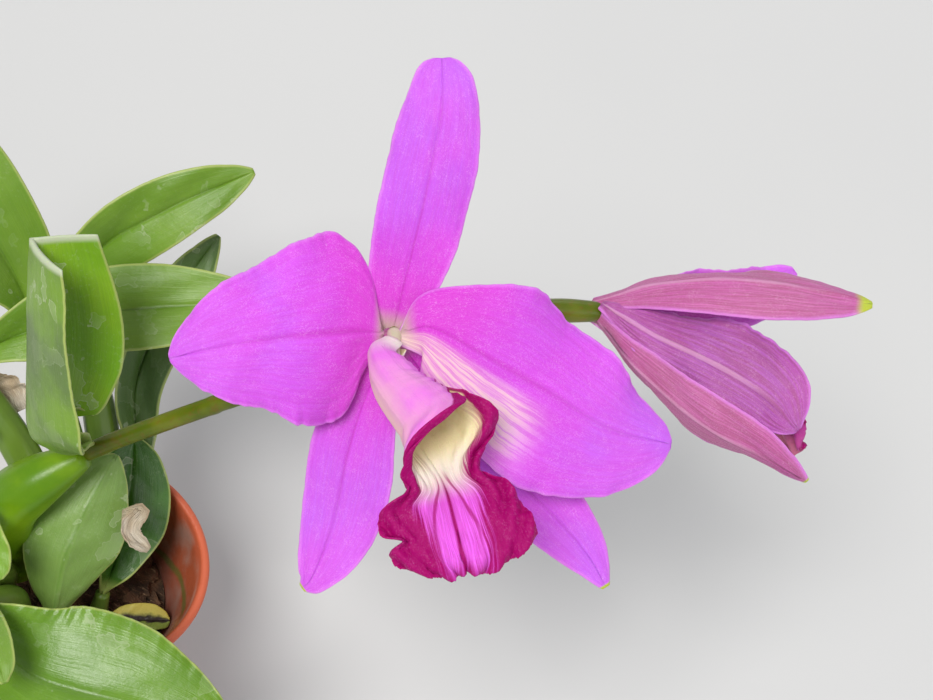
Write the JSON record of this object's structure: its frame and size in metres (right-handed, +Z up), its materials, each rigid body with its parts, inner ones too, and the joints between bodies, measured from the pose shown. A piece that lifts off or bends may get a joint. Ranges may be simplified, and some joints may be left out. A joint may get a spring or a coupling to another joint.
{
  "type": "potted cattleya orchid",
  "caption": "Cattleya orchid in a small terracotta-coloured pot, with one open lilac bloom facing forward and a second, half open, to the side.",
  "frame": {"origin": "middle of the pot's base, on the surface that it stands on", "axes": "+Z up along the pot's axis; +X and the bloom's side to the right as seen from the front"},
  "size_m": [0.2584, 0.1782, 0.2583],
  "materials": {
    "pot_plastic": "moulded, rubbed and stained inside",
    "bark": "rough, damp",
    "bulb_skin": "smooth waxy skin",
    "leaf_green": "waxy",
    "leaf_underside": "dull waxy underside",
    "leaf_dark": "waxy",
    "dry_papery": "dry and curled",
    "dying_leaf": "yellow, green and black",
    "stem_green": "smooth, mottled",
    "lip": "velvety, ruffled",
    "column": "waxy",
    "tepal_front": "sparkling cells",
    "tepal_side": "satin"
  },
  "bodies": {
    "root": {"bulb_cross": "bulb_skin", "bulb_far_left": "bulb_skin", "bulb_front": "bulb_skin", "bulb_inner": "bulb_skin", "bulb_low": "bulb_skin", "bulb_near": "bulb_skin", "bulb_oval": "bulb_skin", "bulb_rear": "bulb_skin", "bulb_small": "bulb_skin", "dry_bract": "dry_papery", "dry_sheath": "dry_papery", "dying_leaf": "dying_leaf", "flower_stem": "stem_green", "front_column": "column", "front_dorsal_sepal": "tepal_front", "front_lip": "lip", "front_petal_left": "tepal_front", "front_petal_right": "tepal_front", "front_sepal_left": "tepal_front", "front_sepal_right": "tepal_front", "leaf_cross": "leaf_green", "leaf_cut": "leaf_underside", "leaf_far_left": "leaf_green", "leaf_grey": "leaf_underside", "leaf_inner": "leaf_dark", "leaf_near": "leaf_green", "leaf_oval": "leaf_dark", "leaf_rear": "leaf_green", "leaf_small": "leaf_green", "leaf_stub": "leaf_green", "pot": "pot_plastic", "potting_bark": "bark", "side_column": "column", "side_dorsal_sepal": "tepal_side", "side_lip": "lip", "side_petal_far": "tepal_side", "side_petal_near": "tepal_side", "side_sepal_far": "tepal_side", "side_sepal_near": "tepal_side"}
  },
  "joints": []
}
